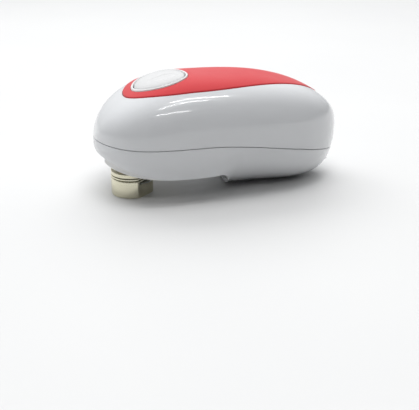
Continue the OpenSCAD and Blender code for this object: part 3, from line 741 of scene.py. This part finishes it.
@dataclass
class Shells(Assembly):
    """Upper and lower mouldings, from shared lines that run from the panel over the rim to the floor."""

    turns: int = 240
    upper_wall: float = 2.6
    lower_wall: float = 2.2
    gap: float = 0.3
    panel_gap: float = 0.25
    recess: float = 1.6
    brow: float = 0.22
    shoulder: float = 2.8
    belly: float = 2.6
    bed_front: float = -71.0
    bed_back: float = -20.3
    bed_depth: float = 1.6
    across_steps: int = 24
    foot_x: float = -9.0
    foot_pitch: float = 0.7
    foot_lines: int = 20
    line_gap: float = 0.28

    def angles(self) -> list[float]:
        """Angles round the plan, even but for extra lines at the foot of the step."""
        half = self.turns // 2
        base = [180.0 * k / half for k in range(half + 1)]
        places = [self.foot_x + self.foot_pitch * k for k in range(self.foot_lines)]
        extra = [math.degrees(math.acos(x / HULL.keel_hold / HULL.half_length)) for x in places]
        keep = [a for a in base if all(abs(a - e) > self.line_gap for e in extra)]
        upper = sorted(keep + extra)
        return upper + [360.0 - a for a in reversed(upper[1:-1])]

    def line(self, turn: float, s: float, inset: float) -> Point:
        """Point of the skin on one line: s is 0 at the panel, 1 at the rim and 2 under the keel."""
        px, py = HULL.rim(turn, inset)
        if s <= 1:
            qx, qy = PANEL.outline(turn)
            g = 1 - (1 - max(s, 0.0)) ** self.shoulder
            x, y = qx + (px - qx) * g, qy + (py - qy) * g
            return x, y, HULL.crown(x, y, inset) if s < 1 else HULL.waist
        r = 1 - (s - 1) ** self.belly
        x, y = px * (HULL.keel_hold + (1 - HULL.keel_hold) * r), py * r
        return x, y, HULL.keel(x, y, inset)

    def meet(self, turn: float, inset: float, level: Callable[[float], float]) -> float:
        """Finds s where a line comes down to a level that varies with x."""
        low, high = 0.0, 2.0
        for _ in range(26):
            mid = (low + high) / 2
            x, _, z = self.line(turn, mid, inset)
            if z > level(x):
                low = mid
            else:
                high = mid
        return (low + high) / 2

    def seam_ring(self, inset: float, rise: float) -> Ring:
        """Ring at a height above the parting line, on the skin moved inward."""
        return [self.line(a, self.meet(a, inset, lambda x: HULL.seam(x) + rise), inset) for a in self.angles()]

    def run(self, inset: float, start: list[float], stop: list[float], count: int) -> list[Ring]:
        """Rings between two lists of s values, without the first and last."""
        turns = self.angles()
        return [
            [self.line(a, start[k] + (stop[k] - start[k]) * j / count, inset) for k, a in enumerate(turns)]
            for j in range(1, count)
        ]

    def build_upper(self) -> bpy.types.Object:
        """Builds the upper shell with the panel's recess and the button's hole."""
        turns = self.angles()
        hole = [PANEL.oval(a, PANEL.ring_wall) for a in turns]
        edge = [PANEL.outline(a) for a in turns]
        wall = offset_ring(edge, self.panel_gap)
        brow = offset_ring(edge, self.panel_gap + self.brow)
        rings = [lay(hole, -self.recess)]
        rings += [lay(between(hole, wall, share), -self.recess) for share in (0.1, 0.3, 0.5, 0.7, 0.9)]
        rings += [lay(wall, -self.recess), lay(wall, -self.brow), lay(brow, 0.0)]
        lip = ((0.0, 0.32), (0.05, 0.12), (0.16, 0.03), (0.34, 0.0), (self.upper_wall, 0.0))
        seam = [self.meet(a, 0.0, lambda x: HULL.seam(x) + lip[0][1]) for a in turns]
        first = []
        for k, a in enumerate(turns):
            x, y = brow[k]
            px, py = HULL.rim(a)
            qx, qy = PANEL.outline(a)
            reach = math.hypot(px - qx, py - qy)
            share = min(0.5, math.hypot(x - qx, y - qy) / reach)
            first.append(1 - (1 - share) ** (1 / self.shoulder))
        rings += self.run(0.0, first, seam, 46)
        rings += [self.seam_ring(inset, rise) for inset, rise in lip]
        inner = [self.meet(a, self.upper_wall, HULL.seam) for a in turns]
        rings += self.run(self.upper_wall, inner, [0.0] * len(turns), 26)
        rings += [lay(between(hole, edge, share), 0.0, self.upper_wall) for share in (1.0, 0.75, 0.5, 0.25, 0.0)]
        rings.append(rings[0])
        piece = loft("upper_housing", rings)
        bosses = []
        radii, lean = (BORES.boss_radius, BORES.thread_radius), 3.6
        for side in (-1, 1):
            for (x, y), ahead in ((BORES.front_screw, -lean), (BORES.rear_screw, lean)):
                top = HULL.crown(x + ahead, side * (y + lean), 0) - 1.2
                bosses.append(tube("boss", (x, side * y), radii, HULL.seam(x) + 0.6, top))
        gather(piece, bosses)
        smooth(piece)
        return self.seat(piece, Body.HOUSING, "shell_white", "upper_shell")

    def underside(self, inset: float, wall: float, columns: int) -> tuple[list[float], list[Ring]]:
        """The lower face between the skin's edges.

        Args:
            inset: how far the skin is moved inward.
            wall: thickness on the underside.
            columns: steps across.

        Returns:
            The s values where the skin ends, and the rows across.
        """
        turns = self.angles()

        def floor(x: float) -> float:
            """Height of this face, raised where the cover's bed is."""
            bed = self.bed_depth * min(1.0, max(0.0, (-19.2 - x) / 1.2)) if wall else 0.0
            return HULL.under(x, wall) + bed

        stops = [self.meet(a, inset, floor) for a in turns]
        half = len(turns) // 2
        rows = []
        for k in range(half + 1):
            left = self.line(turns[k], stops[k], inset)
            right = self.line(turns[-k] if k else turns[0], stops[-k] if k else stops[0], inset)
            rows.append(
                [
                    tuple(left[i] + (right[i] - left[i]) * (1 - math.cos(math.pi * j / columns)) / 2 for i in range(3))
                    for j in range(columns + 1)
                ]
            )
        return stops, rows

    def build_lower(self) -> bpy.types.Object:
        """Builds the lower shell: skin, underside with its step, inner face, then the openings."""
        turns = self.angles()
        outer_stop, outer_rows = self.underside(0.0, 0.0, self.across_steps)
        inner_stop, inner_rows = self.underside(self.lower_wall, self.lower_wall, self.across_steps)
        top = [self.meet(a, 0.0, lambda x: HULL.seam(x) - self.gap - 0.5) for a in turns]
        inner_top = [self.meet(a, self.lower_wall, lambda x: HULL.seam(x) - self.gap) for a in turns]
        rings = [[self.line(a, outer_stop[k], 0.0) for k, a in enumerate(turns)]]
        rings += self.run(0.0, outer_stop, top, 34)
        lip = ((0.0, 0.5), (0.03, 0.3), (0.12, 0.12), (0.28, 0.02))
        rings += [self.seam_ring(inset, -self.gap - drop) for inset, drop in lip]
        rings += [self.seam_ring(inset, -self.gap) for inset in (0.5, self.lower_wall)]
        rings += self.run(self.lower_wall, inner_top, inner_stop, 22)
        rings.append([self.line(a, inner_stop[k], self.lower_wall) for k, a in enumerate(turns)])
        piece = loft("lower_housing", rings, knitted=False)
        gather(piece, [sheet("under", outer_rows), sheet("floor", inner_rows)])
        knit(piece, 1e-6)
        self.open_lower(piece)
        bosses = []
        radii = (BORES.boss_radius, BORES.screw_radius)
        for side in (-1, 1):
            for (x, y), low in ((BORES.front_screw, 19.4), (BORES.rear_screw, 11.0)):
                bosses.append(tube("boss", (x, side * y), radii, low, HULL.seam(x) - 0.6))
        gather(piece, bosses)
        smooth(piece)
        return self.seat(piece, Body.HOUSING, "shell_white", "lower_shell")

    def open_lower(self, piece: bpy.types.Object) -> None:
        """Cuts the cover's bed, the door opening and every bore from the lower shell."""
        rows = []
        for k in range(41):
            x = self.bed_front + (self.bed_back - self.bed_front) * (1 - math.cos(math.pi / 2 * k / 40))
            w = HULL.keel_hold * HULL.plan(x / HULL.keel_hold)
            low, high = HULL.lip(x) - 14.0, HULL.lip(x) + self.bed_depth
            ys = [w * math.cos(math.pi * (1 - j / 16)) for j in range(17)]
            rows.append([(x, y, low) for y in ys] + [(x, y, high) for y in reversed(ys)])
        centre = (rows[0][0][0] - 0.01, 0.0, HULL.lip(self.bed_front))
        last = (rows[-1][0][0], 0.0, HULL.lip(self.bed_back) - 6.0)
        rows = [[centre] * len(rows[0]), *rows, [last] * len(rows[0])]
        cut_away(piece, loft("bed", rows))
        cut_away(piece, Door.blank("doorway", 0.35, -3.0, 9.0))
        x, y = BORES.rear_screw
        for side in (-1, 1):
            BORES.cut_front_screw(piece, side)
            cut_away(piece, post("well", (x, side * y), BORES.well_radius, -2.0, 12.5))
        BORES.cut_shafts(piece)


@dataclass
class TopTrim(Assembly):
    """Coloured panel, button ring and button cap."""

    turns: int = 192

    def angles(self) -> list[float]:
        """Even angles round the plan."""
        return [360.0 * k / self.turns for k in range(self.turns)]

    def build_panel(self) -> bpy.types.Object:
        """Builds the panel as one curved sheet with softened edges."""
        hole = [PANEL.oval(a, -0.12) for a in self.angles()]
        edge = [PANEL.outline(a) for a in self.angles()]
        proud = PANEL.proud
        inner, outer = offset_ring(hole, 0.3), offset_ring(edge, -0.3)
        rings = [lay(hole, -PANEL.depth), lay(hole, proud - 0.3), lay(offset_ring(hole, 0.09), proud - 0.09)]
        rings += [lay(between(inner, outer, j / 26), proud) for j in range(27)]
        rings += [lay(offset_ring(edge, -0.09), proud - 0.09), lay(edge, proud - 0.3), lay(edge, -PANEL.depth)]
        rings += [lay(between(hole, edge, 1 - j / 8), -PANEL.depth) for j in range(1, 9)]
        piece = loft("coloured_panel", rings)
        smooth(piece, 50.0)
        return self.seat(piece, Body.HOUSING, "panel_red", "top_panel")

    def build_ring(self) -> bpy.types.Object:
        """Builds the raised ring round the button."""
        foot = -PANEL.depth
        stations = [(0.0, foot), (0.0, 0.45), (0.06, 0.72), (0.2, 0.93), (0.45, 1.06), (0.75, 1.08), (1.05, 1.02)]
        stations += [(1.25, 0.86), (PANEL.ring_wall, 0.55), (PANEL.ring_wall, foot), (0.0, foot)]
        rings = [lay([PANEL.oval(a, shrink) for a in self.angles()], rise) for shrink, rise in stations]
        piece = loft("button_ring", rings)
        smooth(piece, 50.0)
        return self.seat(piece, Body.HOUSING, "trim_white", "button_bezel")

    def build_cap(self) -> bpy.types.Object:
        """Builds the domed cap with its faint thumb dish and the stem below."""
        edge = PANEL.ring_wall + PANEL.cap_gap
        long, wide = PANEL.ring_long - edge, PANEL.ring_wide - edge
        turns = [math.radians(a) for a in self.angles()]

        def dome(share: float, drop: float = 0.0) -> Ring:
            """One oval of the dome at a share of its size."""
            ring = []
            for a in turns:
                x, y = PANEL.button_x + long * share * math.cos(a), wide * share * math.sin(a)
                reach = math.hypot((x - PANEL.button_x - 1.0) / 8.6, (y + 5.2) / 4.6)
                dish = 0.32 * HULL.ease((1.12 - reach) / 0.3)
                rise = 0.2 + 1.55 * (1 - share**5) ** 0.46 + 0.25 * (1 - share * share)
                ring.append((x, y, HULL.crown(x, y) + rise - dish - drop))
            return ring

        def stem(radius: float, height: float | None, drop: float = 0.0) -> Ring:
            """A round ring below the cap, level or under the crown."""
            ring = []
            for a in turns:
                x, y = PANEL.button_x + radius * math.cos(a), radius * math.sin(a)
                ring.append((x, y, HULL.crown(x, y) - drop if height is None else height))
            return ring

        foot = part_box("button_cap")[0].z / MM
        under = HULL.crown(PANEL.button_x, 0.0)
        rings = [dome(0.0)] + [dome(s / 32 * 0.93) for s in range(1, 33)]
        rings += [dome(s) for s in (0.95, 0.965, 0.978, 0.988, 0.995, 0.999)] + [dome(1.0), dome(1.0, 2.4)]
        rings += [stem(7.2, None, 2.2), stem(7.2, under - 4.5), stem(7.1, under - 4.6), stem(2.0, under - 4.6)]
        rings += [stem(2.0, foot + 0.2), stem(1.8, foot), stem(0.0, foot)]
        piece = loft("button_cap_domed", rings)
        smooth(piece, 50.0)
        return self.seat(piece, Body.BUTTON, "button_white", "button_cap")


@dataclass
class Door(Assembly):
    """Battery door in the tail's underside, with grip ribs at its free end."""

    front: float = 10.0
    back: float = 63.0
    half_width: float = 15.5
    thick: float = 2.0
    rib_front: float = 13.0
    rib_back: float = 19.5
    rib_half: float = 9.0
    rib_pitch: float = 1.3

    @classmethod
    def width(cls, x: float) -> float:
        """Half width of the door at x."""
        share = max(0.0, (x - cls.front) / (cls.back - cls.front))
        return cls.half_width - 2.5 * share**3

    @classmethod
    def outline(cls, grow: float, corner: float = 2.2, count: int = 40) -> list[Flat]:
        """Closed outline with rounded corners."""
        front, back = cls.front - grow, cls.back + grow
        points = []
        for side in (1, -1):
            run = []
            for j in range(count + 1):
                x = front + (back - front) * (1 - math.cos(math.pi * j / count)) / 2
                near = min(x - front, back - x)
                cut = corner - math.sqrt(max(0.0, corner**2 - (corner - near) ** 2)) if near < corner else 0.0
                run.append((x, side * (cls.width(x) + grow - cut)))
            points += run if side > 0 else run[::-1]
        return points

    @classmethod
    def blank(cls, name: str, grow: float, low: float, high: float) -> bpy.types.Object:
        """A plain prism on the door's outline, as a tool for the doorway."""
        flat, middle = cls.outline(grow), ((cls.front + cls.back) / 2, 0.0)
        walls = [[(*point, level) for point in flat] for level in (low, high)]
        ends = [[(*middle, level)] * len(flat) for level in (low, high)]
        return loft(name, [ends[0], *walls, ends[1]])

    def build(self) -> bpy.types.Object:
        """Builds the door from rings that shrink towards its middle line."""
        flat = self.outline(0.0)
        middle = (self.front + self.back) / 2

        def face(share: float, lift: float) -> Ring:
            """One ring of the outer or inner face."""
            ring = []
            for x, y in flat:
                cx, cy = middle + (x - middle) * share, y * share
                rib = 0.0
                if self.rib_front < cx < self.rib_back and abs(cy) < self.rib_half and lift == 0.0:
                    rib = 0.35 * max(0.0, math.sin(math.pi * (cx - self.rib_front) / self.rib_pitch)) ** 2
                ring.append((cx, cy, max(0.0, HULL.keel(cx, cy)) + lift + rib))
            return ring

        shares = [j / 40 for j in range(40)] + [0.985]
        rings = [face(s, 0.0) for s in shares]
        rings += [face(0.994, 0.06), face(1.0, 0.3), face(1.0, self.thick)]
        rings += [face(s, self.thick) for s in (0.8, 0.6, 0.4, 0.2, 0.0)]
        piece = loft("battery_lid", rings)
        smooth(piece, 40.0)
        return self.seat(piece, Body.DOOR, "shell_white", "battery_door")


@dataclass
class HeadCover(Assembly):
    """Inset cover under the head, round the drum and the drive wheel."""

    ratio: float = 0.92
    tail: float = -20.5
    edge: float = 0.9

    def build(self) -> bpy.types.Object:
        """Builds the cover from sections along the head and bores it."""
        tip = -HULL.half_length * self.ratio + 0.05
        sections = []
        for k in range(61):
            x = tip + (self.tail - tip) * (1 - math.cos(math.pi / 2 * k / 60))
            width = self.ratio * HULL.plan(x / self.ratio)
            low, high = HULL.cover_low(x), HULL.lip(x) + 1.5
            near = min(self.edge, self.tail - x + 0.02)
            ring = []
            for j in range(49):
                y = -width * math.cos(math.pi * j / 48)
                out = min(1.0, (width - abs(y)) / self.edge) if width > 0 else 1.0
                out = min(out, near / self.edge)
                ring.append((x, y, low + self.edge * (1 - math.sqrt(max(0.0, 1 - (1 - out) ** 2))) * 0.7))
            ring += [(x, width * math.cos(math.pi * j / 16), high) for j in range(17)]
            sections.append(ring)
        first = [(tip - 0.02, 0.0, (HULL.cover_low(tip) + HULL.lip(tip)) / 2 + 0.6)] * len(sections[0])
        last = [(self.tail, 0.0, HULL.head_level + 0.6)] * len(sections[0])
        piece = loft("head_cover_inset", [first, *sections, last])
        BORES.cut_shafts(piece)
        for side in (-1, 1):
            BORES.cut_front_screw(piece, side)
        smooth(piece)
        return self.seat(piece, Body.HOUSING, "cover_white", "head_cover")


# ---------------------------------------------------------------- cutting head


@dataclass
class CuttingHead(Assembly):
    """Drum with its two rings, and the toothed drive wheel."""

    centre: Flat = (-55.4, -5.3)
    radius: float = 12.5
    height: float = 10.6
    flat_turn: float = -50.0
    flat_share: float = 0.82
    cutter: Flat = (-51.158, -10.356)
    teeth: int = 24
    tooth_steps: int = 8
    wheel_radius: float = 5.0

    def flatten(self, piece: bpy.types.Object, width: float) -> None:
        """Cuts the drum's flat and softens its edges."""
        a = math.radians(self.flat_turn)
        reach = self.flat_share * self.radius
        normal = (math.cos(a), math.sin(a))
        slice_off(piece, (self.centre[0] + reach * normal[0], self.centre[1] + reach * normal[1]), normal)
        soften(piece, width, 40.0)

    def build_drum(self) -> bpy.types.Object:
        """Builds the drum with its foot, hub, flat and the slot of the cutter."""
        r, h = self.radius, self.height
        outline = [(0, 0.5), (9.4, 0.5), (9.5, 0.4), (9.5, 0.0), (11.75, 0.0), (12.2, 0.2), (12.42, 0.5), (r, 0.9)]
        outline += [(r, h - 0.4), (r - 0.08, h - 0.16), (r - 0.3, h), (8.5, h), (8.5, 14.8), (8.4, 14.9), (0, 14.9)]
        piece = lathe("drum_turned", self.centre, outline, 144)
        self.flatten(piece, 0.14)
        cut_away(piece, post("slot", self.cutter, 6.75, 7.9, 9.5, 96))
        smooth(piece)
        return self.seat(piece, Body.DRUM, "nickel", "cutter_drum")

    def build_rings(self) -> None:
        """Builds the two grooved rings above the drum's plain wall."""
        low = tube("drum_ring_lower", self.centre, (self.radius, 8.5), 11.0, 12.1)
        high = tube("drum_ring_upper", self.centre, (self.radius - 0.1, 8.5), 12.5, 14.9)
        for piece, node in ((low, "drum_ring_low"), (high, "drum_ring_top")):
            self.flatten(piece, 0.1)
            smooth(piece)
            self.seat(piece, Body.DRUM, "nickel", node)

    def build_wheel(self) -> bpy.types.Object:
        """Builds the drive wheel: pointed teeth and a plain collar over them."""
        count = self.teeth * self.tooth_steps

        def toothed(height: float, scale: float) -> Ring:
            """One toothed ring."""
            ring = []
            for k in range(count):
                phase = abs((k % self.tooth_steps) / self.tooth_steps * 2 - 1)
                reach = self.wheel_radius * scale * (0.9 + 0.1 * phase)
                a = 2 * math.pi * k / count
                ring.append((BORES.drive[0] + reach * math.cos(a), BORES.drive[1] + reach * math.sin(a), height))
            return ring

        def plain(height: float, reach: float) -> Ring:
            """One round ring."""
            return circle(BORES.drive, reach, height, count)

        rings = [plain(7.4, 3.0), plain(7.4, 4.2), toothed(7.6, 0.94), toothed(8.0, 1.0), toothed(11.6, 1.0)]
        rings += [toothed(11.9, 0.95), plain(12.0, 4.1), plain(13.5, 4.1), plain(13.6, 4.0), plain(13.6, 3.0)]
        rings.append(plain(7.4, 3.0))
        piece = loft("drive_wheel_toothed", rings)
        smooth(piece, 25.0)
        return self.seat(piece, Body.DRIVE, "bright_steel", "drive_wheel")


# ---------------------------------------------------------------- inner pieces


class Way(Enum):
    """How a copy of a frame node is finished."""

    EDGED = "edged"
    ROUND = "round"


@dataclass
class Works(Assembly):
    """Inner pieces: clean copies of the frame's nodes with softened edges or rounded wires."""

    edges: dict[str, float] = field(
        default_factory=lambda: {
            "shell_screws": 0.12, "start_switch": 0.15, "switch_plunger": 0.1, "lower_plate": 0.2, "upper_plate": 0.2,
            "plate_posts": 0.12, "plate_screws": 0.15, "gear_pins": 0.1, "motor_can": 0.35, "motor_end": 0.2,
            "motor_screws": 0.15, "motor_rotor": 0.06, "gear_1": 0.04, "gear_2": 0.05, "gear_3": 0.06,
            "drive_gear": 0.08, "drive_shaft": 0.25, "drive_bush": 0.2, "drum_bush": 0.2, "drum_shaft": 0.25,
            "drum_washer": 0.08, "drum_cam": 0.25, "cutter_axle": 0.15, "cutter_wheel": 0.03, "limit_switch": 0.15,
            "magnet_cup": 0.3, "lid_magnet": 0.2, "cell_a": 0.4, "cell_b": 0.4, "cell_cradle": 0.2,
            "cell_contacts": 0.05,
        }
    )
    rounds: tuple[str, ...] = ("button_spring", "cell_springs", "wire_red", "wire_black", "wire_white", "wire_blue")

    def copy(self, node: str) -> bpy.types.Object:
        """A merged copy of a frame node, free of its body."""
        source = frame["nodes"][node]
        made = bpy.data.objects.new(f"{node}_finished", source.data.copy())
        bpy.context.scene.collection.objects.link(made)
        pick(made)
        if made.data.has_custom_normals:
            bpy.ops.mesh.customdata_custom_splitnormals_clear()
        with editing(made):
            bpy.ops.mesh.remove_doubles(threshold=1e-6)
        return made

    def finish_node(self, node: str, way: Way, body: str, slot: str) -> None:
        """Replaces one node by its finished copy."""
        made = self.copy(node)
        if way is Way.EDGED:
            with editing(made):
                bpy.ops.mesh.dissolve_limited(angle_limit=math.radians(0.6))
            soften(made, self.edges[node], 38.0)
            smooth(made)
        else:
            apply_change(made, "SUBSURF", levels=1, render_levels=1)
            smooth(made, 80.0)
        self.seat(made, Body(body), slot, node)

    def build(self) -> None:
        """Finishes every node that no other assembly stands for."""
        record = frame["record"]
        slots = {part["node"]: part["material_slot"] for part in record["subparts"]}
        bodies = {node: body for body, nodes in record["behaviour"]["bodies"].items() for node in nodes}
        for way, nodes in ((Way.EDGED, self.edges), (Way.ROUND, self.rounds)):
            for node in nodes:
                self.finish_node(node, way, bodies[node], slots[node])


# ---------------------------------------------------------------- studio


@dataclass
class Studio:
    """Pale floor, soft lights, their surroundings and the camera, in metres."""

    eye: Point = (-0.1409, -0.4508, 0.1744)
    forward: Point = (0.267, 0.887, -0.376)
    lens: float = 68.73
    floor_size: float = 2.4

    def floor(self) -> None:
        """Lays a wide pale floor that is clear from below."""
        clear_selection()
        bpy.ops.mesh.primitive_plane_add(size=self.floor_size, location=(0.0, 0.0, 0.0))
        plane = bpy.context.object
        plane.name = "studio_floor"
        made = bpy.data.materials.new("floor_paper")
        made.use_nodes = True
        tree = made.node_tree
        shader, surface = tree.nodes["Principled BSDF"], tree.nodes["Material Output"]
        fill(shader, {"Roughness": 0.55})
        place, noise = add(tree, "TexCoord"), add(tree, "TexNoise", {"Scale": 6.0})
        tone = add(tree, "Mix", {"A": (0.70, 0.70, 0.70, 1.0), "B": (0.735, 0.735, 0.73, 1.0)}, data_type="RGBA")
        side, clear, blend = (add(tree, kind) for kind in ("NewGeometry", "BsdfTransparent", "MixShader"))
        wire(
            tree,
            (place, "Object", noise, "Vector"),
            (noise, "Fac", tone, "Factor"),
            (tone, "Result", shader, "Base Color"),
            (side, "Backfacing", blend, 0),
            (shader, 0, blend, 1),
            (clear, 0, blend, 2),
            (blend, 0, surface, "Surface"),
        )
        plane.data.materials.append(made)

    @staticmethod
    def area_light(name: str, size: Flat, power: float) -> bpy.types.Object:
        """Adds a rectangular light at the origin, in metres and watts."""
        data = bpy.data.lights.new(name, "AREA")
        data.shape = "RECTANGLE"
        data.size, data.size_y = size
        data.energy = power
        made = bpy.data.objects.new(name, data)
        bpy.context.scene.collection.objects.link(made)
        return made

    def lamp(self, name: str, place: Point, aim: Point, size: Flat, power: float) -> None:
        """Adds one soft light that doesn't show in gloss."""
        made = self.area_light(name, size, power)
        made.location = place
        made.visible_glossy = False
        made.rotation_mode = "QUATERNION"
        made.rotation_quaternion = (Vector(aim) - Vector(place)).to_track_quat("-Z", "Y")

    def tube_light(self, name: str, ends: tuple[Point, Point], width: float, power: float) -> None:
        """Adds a thin straight light between two points, facing the object."""
        start, stop = Vector(ends[0]), Vector(ends[1])
        middle = (start + stop) / 2
        along = (stop - start).normalized()
        back = (middle - Vector((0.0, 0.0, 0.04))).normalized()
        back = (back - along * back.dot(along)).normalized()
        turn = Matrix((along, back.cross(along), back)).transposed()
        made = self.area_light(name, ((stop - start).length, width), power)
        made.matrix_world = Matrix.Translation(middle) @ turn.to_4x4()

    def lights(self) -> None:
        """Sets soft lights above and at the sides, and thin tubes for the streaks."""
        self.lamp("overhead", (0.0, 0.75, 0.85), (0.0, 0.15, 0.0), (1.6, 0.7), 7.8)
        self.lamp("top", (0.0, -0.02, 1.1), (0.0, 0.0, 0.03), (0.8, 0.35), 2.2)
        self.lamp("left", (-1.0, 0.15, 0.30), (0.0, 0.0, 0.04), (0.8, 0.8), 1.1)
        self.lamp("right", (1.0, 0.25, 0.35), (0.0, 0.0, 0.04), (0.8, 0.8), 1.0)
        self.tube_light("tube_a", ((-0.10, -0.16, 0.94), (0.29, -0.16, 0.90)), 0.030, 1.0)
        self.tube_light("tube_b", ((-0.26, -0.30, 0.87), (0.24, -0.33, 0.88)), 0.028, 0.9)
        self.tube_light("tube_c", ((-0.32, -0.54, 0.73), (0.14, -0.71, 0.63)), 0.026, 0.7)

    @staticmethod
    def tent() -> None:
        """Makes the surroundings bright overhead and behind, dark in front, and pale where the camera sees them."""
        world = bpy.data.worlds.new("tent")
        bpy.context.scene.world = world
        world.use_nodes = True
        tree = world.node_tree
        back = tree.nodes["Background"]
        fill(back, {"Color": (0.97, 0.985, 1.0, 1.0)})
        place = add(tree, "TexCoord")
        lean = add(tree, "VectorMath", {1: (0.0, 0.62, 0.78)}, operation="DOT_PRODUCT")
        reach = {"From Min": 0.0, "From Max": 0.95, "To Min": 0.06, "To Max": 0.95}
        ramp = add(tree, "MapRange", reach, interpolation_type="SMOOTHSTEP")
        seen, level = add(tree, "LightPath"), add(tree, "Mix", {"B": 0.93})
        wire(
            tree,
            (place, "Generated", lean, 0),
            (lean, "Value", ramp, "Value"),
            (seen, "Is Camera Ray", level, "Factor"),
            (ramp, 0, level, "A"),
            (level, "Result", back, "Strength"),
        )

    def camera(self) -> None:
        """Sets the camera and plain display colours."""
        data = bpy.data.cameras.new("eye")
        data.lens = self.lens
        data.sensor_width = 36.0
        data.clip_start, data.clip_end = 0.01, 20.0
        made = bpy.data.objects.new("eye", data)
        made.location = Vector(self.eye)
        made.rotation_mode = "QUATERNION"
        made.rotation_quaternion = Vector(self.forward).to_track_quat("-Z", "Y")
        bpy.context.scene.collection.objects.link(made)
        bpy.context.scene.camera = made
        bpy.context.scene.view_settings.view_transform = "Standard"


def main() -> None:
    """Builds the studio, then each sub-assembly in order."""
    logging.basicConfig(level=logging.INFO, format="%(name)s %(message)s")
    studio = Studio()
    studio.camera()
    studio.floor()
    studio.lights()
    studio.tent()
    paints = Paints()
    shells = Shells(paints)
    shells.build_upper()
    shells.build_lower()
    trim = TopTrim(paints)
    trim.build_panel()
    trim.build_ring()
    trim.build_cap()
    Door(paints).build()
    HeadCover(paints).build()
    head = CuttingHead(paints)
    head.build_drum()
    head.build_rings()
    head.build_wheel()
    Works(paints).build()


if __name__ == "__main__":
    main()
